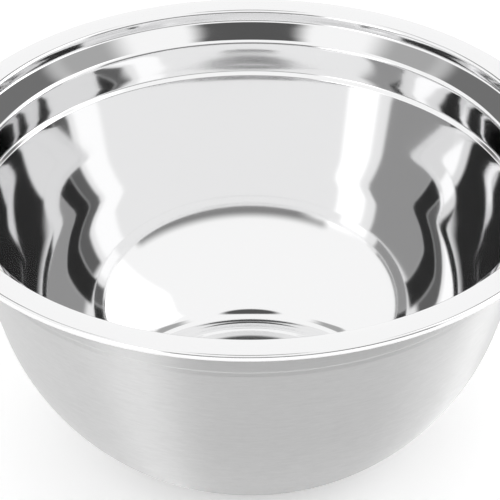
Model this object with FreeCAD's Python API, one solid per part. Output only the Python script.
import FreeCAD, Part
import os
from math import cos, radians, sqrt, tan

# Double-walled steel shaving bowl: mirror-polished inner bowl, brushed outer shell, sealed hemmed lip.
#
# Frame: origin at the centre of the base, +Z up along the bowl's axis of symmetry, millimetres.
# Every piece is turned: its section is drawn in the XZ plane and revolved about Z.
# Sections are given as corners (radius from the axis, depth below the lip's mid plane, rounding).

Vector = FreeCAD.Vector
AXIS = Vector(0, 0, 1)
FULL_TURN = 360

# Driving dimensions
OVERALL_DIAMETER = 120.0
OVERALL_HEIGHT = 57.0
SHEET = 0.4                # thickness of both steel sheets

# Hemmed lip
LIP_WIDTH = 5.2
LIP_THICKNESS = 1.8
LIP_EDGE_DROP = 0.4        # the lip's two edges lie this far below its crown
CROWN_SLOPE = radians(12)  # of the lip's upper face, at its two edges
LIP_EDGE_ROUNDING = 0.7
TIP_ROUNDING = 0.6
FOLD_ROUNDING = 0.75       # where the sheet turns back under the lip
HEM_RETURN = 3.4           # how far the folded leaf runs back under the lip
FLANGE_EDGE = 1.8          # from the tip of the lip to the shell's clamped edge
SEAL_EDGE = 0.75           # from the tip of the lip to the outside of the seal
SEAL_HEIGHT = 0.6

# Stepped rim of the inner bowl: sloping ledge, upright band, small step in to the wall
LEDGE_UNDERCUT = 0.2       # the ledge starts this far outside the lip's inner edge
LEDGE_DEPTH = 1.8
LEDGE_ROUNDING = 0.5
BAND_RADIUS = 50.7
BAND_TOP = 4.1
BAND_FOOT = 10.7
BAND_TOP_ROUNDING = 1.1
BAND_FOOT_ROUNDING = 0.5
WALL_SETBACK = 0.7         # the wall starts this far inside the band
WALL_DROP = 0.5            # and this far below it
WALL_TOP_ROUNDING = 0.4

# Wall and floor of the inner bowl
WALL_BEND_RADIUS = 41.6    # the corner that the wall's long curve rounds off
WALL_BEND_DEPTH = 41.3
WALL_ROUNDING = 35.0
WALL_FOOT_RADIUS = 26.6
WALL_FOOT_ROUNDING = 7.0
FLOOR_RADIUS = 22.5
FLOOR_STEP = 0.4           # the floor is pressed this far below the foot of the wall
FLOOR_STEP_RUN = 0.3
FLOOR_STEP_ROUNDING = 0.15

# Neck and ring of the outer shell
FLANGE_INNER = 1.35        # from the lip's inner edge out to the bend of the flange
FLANGE_ROUNDING = 0.3
NECK_INNER = 1.2           # from the lip's inner edge out to the top of the neck's slope
NECK_DEPTH = 2.85
NECK_ROUNDING = 1.0
RING_RADIUS = 52.55        # raised ring round the outside, under the lip
RING_TOP = 5.05
RING_FOOT = 8.3
RING_TOP_ROUNDING = 0.8
RING_FOOT_ROUNDING = 0.45
RING_SETBACK = 0.5         # the shell's wall starts this far inside the ring
RING_SETBACK_DROP = 0.45
SHELL_TOP_SETBACK = 0.45
SHELL_TOP_DROP = 1.3
SHELL_TOP_ROUNDING = 0.7

# Wall and base of the outer shell
SHELL_BEND_RADIUS = 42.8
SHELL_BEND_DEPTH = 42.7
SHELL_ROUNDING = 47.0
BASE_EDGE_RADIUS = 26.1
BASE_EDGE_ROUNDING = 11.5
BASE_GAP = 1.8             # air between the floor and the base
BASE_RECESS = 0.6          # the middle of the base is pressed up this far
BASE_RECESS_RADIUS = 14.5
BASE_RECESS_RUN = 1.0
BASE_RECESS_ROUNDING = 0.8

# Derived positions
TIP = OVERALL_DIAMETER / 2
LIP_TOP = -LIP_THICKNESS / 2
LIP_UNDERSIDE = LIP_THICKNESS / 2
LIP_EDGE_DEPTH = LIP_TOP + LIP_EDGE_DROP
LIP_MID_HEIGHT = OVERALL_HEIGHT - LIP_THICKNESS / 2
LIP_INNER = TIP - LIP_WIDTH
LEAF_TOP = LIP_UNDERSIDE - SHEET
BASE_DEPTH = LIP_MID_HEIGHT
FLOOR_DEPTH = BASE_DEPTH - BASE_GAP - 2 * SHEET
WALL_FOOT_DEPTH = FLOOR_DEPTH - FLOOR_STEP


def point(radius, depth):
    """A place in the section plane, from its radius and its depth below the lip's mid plane."""
    return Vector(radius, 0, LIP_MID_HEIGHT - depth)


def fillet(before, corner, after, radius):
    """The arc of this radius that rounds a corner, as (start, middle, end)."""
    to_before = (before - corner).normalize()
    to_after = (after - corner).normalize()
    half_angle = to_before.getAngle(to_after) / 2
    reach = radius / tan(half_angle)
    bisector = (to_before + to_after).normalize()
    centre_distance = sqrt(reach ** 2 + radius ** 2)
    middle = corner + bisector * (centre_distance - radius)
    return corner + to_before * reach, middle, corner + to_after * reach


def rounded_path(corners):
    """A wire through the corners, each rounded by a tangent arc of its own radius."""
    places = [point(radius, depth) for radius, depth, _ in corners]
    edges = []
    last = places[0]
    for index in range(1, len(corners) - 1):
        rounding = corners[index][2]
        start, middle, end = fillet(places[index - 1], places[index], places[index + 1], rounding)
        edges.append(Part.LineSegment(last, start).toShape())
        edges.append(Part.Arc(start, middle, end).toShape())
        last = end
    edges.append(Part.LineSegment(last, places[-1]).toShape())
    return Part.Wire(edges)


def turned_sheet(corners, thickness):
    """Sheet metal turned about Z. The corners follow its visible face, and the sign gives the hidden side."""
    section = rounded_path(corners).makeOffset2D(thickness, 0, True, True)
    return section.revolve(Vector(0, 0, 0), AXIS, FULL_TURN)


def make_inner_bowl():
    """Polished face of the inner bowl, from the hem's cut edge, round the lip and down to the floor."""
    crown_rise = LIP_WIDTH / 2 * tan(CROWN_SLOPE)
    crown_rounding = (crown_rise - LIP_EDGE_DROP) / (1 / cos(CROWN_SLOPE) - 1)
    lip = [
        (TIP - HEM_RETURN, LIP_UNDERSIDE, 0),
        (TIP, LIP_UNDERSIDE, FOLD_ROUNDING),
        (TIP, LIP_EDGE_DEPTH, TIP_ROUNDING),
        (TIP - LIP_WIDTH / 2, LIP_EDGE_DEPTH - crown_rise, crown_rounding),
        (LIP_INNER, LIP_EDGE_DEPTH, LIP_EDGE_ROUNDING),
    ]
    stepped_rim = [
        (LIP_INNER + LEDGE_UNDERCUT, LEDGE_DEPTH, LEDGE_ROUNDING),
        (BAND_RADIUS, BAND_TOP, BAND_TOP_ROUNDING),
        (BAND_RADIUS, BAND_FOOT, BAND_FOOT_ROUNDING),
        (BAND_RADIUS - WALL_SETBACK, BAND_FOOT + WALL_DROP, WALL_TOP_ROUNDING),
    ]
    wall_and_floor = [
        (WALL_BEND_RADIUS, WALL_BEND_DEPTH, WALL_ROUNDING),
        (WALL_FOOT_RADIUS, WALL_FOOT_DEPTH, WALL_FOOT_ROUNDING),
        (FLOOR_RADIUS + FLOOR_STEP_RUN, WALL_FOOT_DEPTH, FLOOR_STEP_ROUNDING),
        (FLOOR_RADIUS, FLOOR_DEPTH, FLOOR_STEP_ROUNDING),
        (0, FLOOR_DEPTH, 0),
    ]
    return turned_sheet(lip + stepped_rim + wall_and_floor, SHEET)


def make_outer_shell():
    """Brushed face of the outer shell, from its flange in the hem, down the neck and wall to the base."""
    flange = [
        (TIP - FLANGE_EDGE, LEAF_TOP, 0),
        (LIP_INNER + FLANGE_INNER, LEAF_TOP, FLANGE_ROUNDING),
        (LIP_INNER + NECK_INNER, NECK_DEPTH, NECK_ROUNDING),
    ]
    ring = [
        (RING_RADIUS, RING_TOP, RING_TOP_ROUNDING),
        (RING_RADIUS, RING_FOOT, RING_FOOT_ROUNDING),
        (RING_RADIUS - RING_SETBACK, RING_FOOT + RING_SETBACK_DROP, RING_FOOT_ROUNDING),
        (RING_RADIUS - SHELL_TOP_SETBACK, RING_FOOT + SHELL_TOP_DROP, SHELL_TOP_ROUNDING),
    ]
    wall_and_base = [
        (SHELL_BEND_RADIUS, SHELL_BEND_DEPTH, SHELL_ROUNDING),
        (BASE_EDGE_RADIUS, BASE_DEPTH, BASE_EDGE_ROUNDING),
        (BASE_RECESS_RADIUS, BASE_DEPTH, BASE_RECESS_ROUNDING),
        (BASE_RECESS_RADIUS - BASE_RECESS_RUN, BASE_DEPTH - BASE_RECESS, BASE_RECESS_ROUNDING),
        (0, BASE_DEPTH - BASE_RECESS, 0),
    ]
    return turned_sheet(flange + ring + wall_and_base, -SHEET)


def make_rim_seal():
    """Ring of sealing compound lying in the fold, against the shell's clamped edge."""
    inside = TIP - FLANGE_EDGE
    outside = TIP - SEAL_EDGE
    top = LEAF_TOP - SEAL_HEIGHT
    outline = Part.makePolygon([
        point(inside, LEAF_TOP),
        point(outside, LEAF_TOP),
        point(outside, top),
        point(inside, top),
        point(inside, LEAF_TOP),
    ])
    return Part.Face(outline).revolve(Vector(0, 0, 0), AXIS, FULL_TURN)


NODES = {
    "inner_bowl": make_inner_bowl,
    "outer_shell": make_outer_shell,
    "rim_seal": make_rim_seal,
}

os.makedirs("parts", exist_ok=True)
for node, make in NODES.items():
    shape = make()
    shape.exportStep(f"parts/{node}.step")
